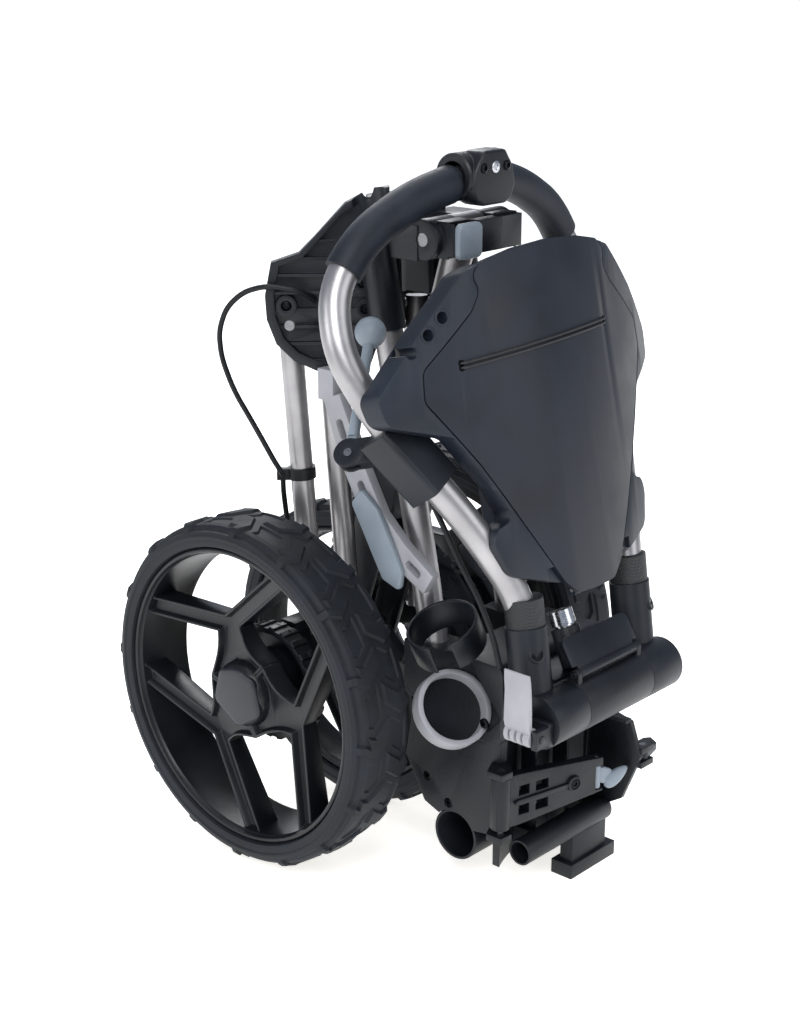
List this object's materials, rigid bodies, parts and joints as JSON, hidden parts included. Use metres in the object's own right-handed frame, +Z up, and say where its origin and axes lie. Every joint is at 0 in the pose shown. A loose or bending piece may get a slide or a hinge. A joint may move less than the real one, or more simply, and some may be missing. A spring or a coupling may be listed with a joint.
{
  "type": "folding golf push trolley",
  "caption": "Folded golf push trolley: spoked rear wheels on linkage legs, front wheel on a folding fork, bent handle loop with a lidded tray, brake lever, latch and bag cradle.",
  "frame": {"origin": "on the floor, under the middle of the folded trolley's outline", "axes": "+X to the trolley's right, +Y to its back (the rear wheels' side), +Z up; the tray's lid faces -Y"},
  "size_m": [0.3102, 0.406, 0.566],
  "materials": {
    "dark_plastic": "moulded, fine grain",
    "lid_plastic": "moulded, fine grain",
    "wheel_plastic": "moulded, satin",
    "foam_tyre": "matt",
    "silver_tube": "satin",
    "steel": "brushed",
    "bright_metal": "polished",
    "pale_plastic": "smooth",
    "warm_grey_plastic": "smooth",
    "grip_foam": "soft, matt",
    "knurled_rubber": "woven, matt",
    "cable_black": "smooth",
    "elastic": "woven"
  },
  "bodies": {
    "frame": {"hip_core": "dark_plastic", "hip_cover_left": "dark_plastic", "hip_cover_right": "dark_plastic", "casting_screws": "steel", "frame_pins": "steel", "main_tubes": "silver_tube", "lower_casting": "dark_plastic", "accessory_ring": "warm_grey_plastic", "holder_band": "dark_plastic", "strap": "warm_grey_plastic", "strap_tab": "pale_plastic", "bag_saddle": "dark_plastic", "cross_tubes": "dark_plastic", "foot_rail": "dark_plastic", "cable_loop": "cable_black"},
    "leg_outer_left": {"leg_outer_left": "silver_tube", "cable_leg": "cable_black"},
    "leg_inner_left": {"leg_inner_left": "silver_tube"},
    "leg_outer_right": {"leg_outer_right": "silver_tube"},
    "leg_inner_right": {"leg_inner_right": "silver_tube"},
    "knuckle_left": {"hub_bracket_left": "dark_plastic", "knuckle_pins_left": "steel"},
    "knuckle_right": {"hub_bracket_right": "dark_plastic", "knuckle_pins_right": "steel"},
    "wheel_left": {"tyre_left": "foam_tyre", "rim_left": "wheel_plastic", "hub_cap_left": "wheel_plastic", "wheel_bearings_left": "steel", "brake_drum_left": "wheel_plastic"},
    "wheel_right": {"tyre_right": "foam_tyre", "rim_right": "wheel_plastic", "hub_cap_right": "wheel_plastic", "wheel_bearings_right": "steel"},
    "brake_pin": {"brake_pin_left": "steel"},
    "fork": {"fork_tube": "silver_tube", "fork_crown": "dark_plastic", "front_axle": "steel"},
    "front_wheel": {"front_tyre": "foam_tyre", "front_rim": "wheel_plastic", "front_bearings": "steel"},
    "button": {"release_button": "pale_plastic"},
    "handle": {"handle_tube": "silver_tube", "grips": "grip_foam", "loop_clamp": "dark_plastic", "handle_fittings": "bright_metal", "handle_sleeves": "dark_plastic", "handle_collars": "knurled_rubber", "handle_pins": "steel", "tray_body": "dark_plastic", "brake_housing": "dark_plastic", "cable_handle": "cable_black"},
    "lid": {"tray_lid": "lid_plastic", "lid_cord": "elastic"},
    "brake_lever": {"brake_lever": "pale_plastic"},
    "cam_lever": {"cam_lever": "warm_grey_plastic"},
    "latch": {"latch_plate": "dark_plastic"},
    "plunger": {"latch_plunger": "bright_metal"},
    "bag_arm": {"bag_arm": "dark_plastic"},
    "arm_clip": {"arm_clip": "pale_plastic"},
    "strap_hook": {"strap_hook": "dark_plastic"}
  },
  "joints": [
    {"name": "leg_swing_left", "type": "hinge", "parent": "frame", "child": "leg_outer_left", "pos_m": [-0.07212, 0.0693, 0.428], "axis": [0.7071, 0.7071, 0], "range_deg": [0, 50]},
    {"name": "inner_leg_swing_left", "type": "hinge", "parent": "frame", "child": "leg_inner_left", "pos_m": [-0.05162, 0.04879, 0.428], "axis": [0.7071, 0.7071, 0], "range_deg": [0, 50]},
    {"name": "knuckle_turn_left", "type": "hinge", "parent": "leg_outer_left", "child": "knuckle_left", "pos_m": [-0.06109, 0.05826, 0.18], "axis": [0.7071, 0.7071, 0], "range_deg": [-50, 0]},
    {"name": "wheel_spin_left", "type": "hinge", "parent": "knuckle_left", "child": "wheel_left", "pos_m": [-0.125, 0.058, 0.145], "axis": [1, 0, 0], "continuous": true},
    {"name": "leg_swing_right", "type": "hinge", "parent": "frame", "child": "leg_outer_right", "pos_m": [0.07212, 0.0693, 0.428], "axis": [0.7071, -0.7071, 0], "range_deg": [0, 50]},
    {"name": "inner_leg_swing_right", "type": "hinge", "parent": "frame", "child": "leg_inner_right", "pos_m": [0.05162, 0.04879, 0.428], "axis": [0.7071, -0.7071, 0], "range_deg": [0, 50]},
    {"name": "knuckle_turn_right", "type": "hinge", "parent": "leg_outer_right", "child": "knuckle_right", "pos_m": [0.06109, 0.05826, 0.18], "axis": [0.7071, -0.7071, 0], "range_deg": [-50, 0]},
    {"name": "wheel_spin_right", "type": "hinge", "parent": "knuckle_right", "child": "wheel_right", "pos_m": [0.125, 0.058, 0.145], "axis": [1, 0, 0], "continuous": true},
    {"name": "fork_fold", "type": "hinge", "parent": "frame", "child": "fork", "pos_m": [0, -0.042, 0.5], "axis": [1, 0, 0], "range_deg": [0, 134]},
    {"name": "front_wheel_spin", "type": "hinge", "parent": "fork", "child": "front_wheel", "pos_m": [0, 0.065, 0.138], "axis": [1, 0, 0], "continuous": true},
    {"name": "release_button_press", "type": "slide", "parent": "frame", "child": "button", "axis": [0, 1, 0], "range_m": [0, 0.004], "stiffness_N_per_m": 500},
    {"name": "handle_fold", "type": "hinge", "parent": "frame", "child": "handle", "pos_m": [0, -0.183, 0.172], "axis": [1, 0, 0], "range_deg": [0, 150]},
    {"name": "lid_swing", "type": "hinge", "parent": "handle", "child": "lid", "pos_m": [0, -0.16736, 0.2537], "axis": [-1, 0, 0], "range_deg": [-90, 0]},
    {"name": "brake_lever_swing", "type": "hinge", "parent": "handle", "child": "brake_lever", "pos_m": [-0.139, -0.058, 0.361], "axis": [-0.7596, -0.1869, 0.6229], "range_deg": [0, 25]},
    {"name": "brake_pin_slide", "type": "slide", "parent": "knuckle_left", "child": "brake_pin", "axis": [-1, 0, 0], "range_m": [0, 0.008]},
    {"name": "cam_lever_swing", "type": "hinge", "parent": "handle", "child": "cam_lever", "pos_m": [-0.092, -0.181, 0.168], "axis": [0, -1, 0], "range_deg": [0, 110]},
    {"name": "latch_pull", "type": "hinge", "parent": "frame", "child": "latch", "pos_m": [0, -0.186, 0.1973], "axis": [1, 0, 0], "range_deg": [0, 25], "stiffness_Nm_per_rad": 0.3},
    {"name": "plunger_slide", "type": "slide", "parent": "frame", "child": "plunger", "axis": [0, 0.3998, 0.9166], "range_m": [0, 0.006], "stiffness_N_per_m": 300},
    {"name": "bag_arm_swing", "type": "hinge", "parent": "frame", "child": "bag_arm", "pos_m": [-0.066, -0.141, 0.091], "axis": [0, 0, -1], "range_deg": [0, 100]},
    {"name": "arm_clip_swing", "type": "hinge", "parent": "bag_arm", "child": "arm_clip", "pos_m": [0.02238, -0.16468, 0.091], "axis": [0, 0, -1], "range_deg": [0, 60]},
    {"name": "strap_hook_swing", "type": "hinge", "parent": "frame", "child": "strap_hook", "pos_m": [0.068, -0.176, 0.094], "axis": [0, 0, -1], "range_deg": [0, 70]}
  ],
  "couplings": [
    {"joint": "inner_leg_swing_left", "follows": "leg_swing_left", "ratio": 1},
    {"joint": "knuckle_turn_left", "follows": "leg_swing_left", "ratio": -1},
    {"joint": "inner_leg_swing_right", "follows": "leg_swing_right", "ratio": 1},
    {"joint": "knuckle_turn_right", "follows": "leg_swing_right", "ratio": -1},
    {"joint": "brake_pin_slide", "follows": "brake_lever_swing", "m_per_rad": 0.0183}
  ]
}
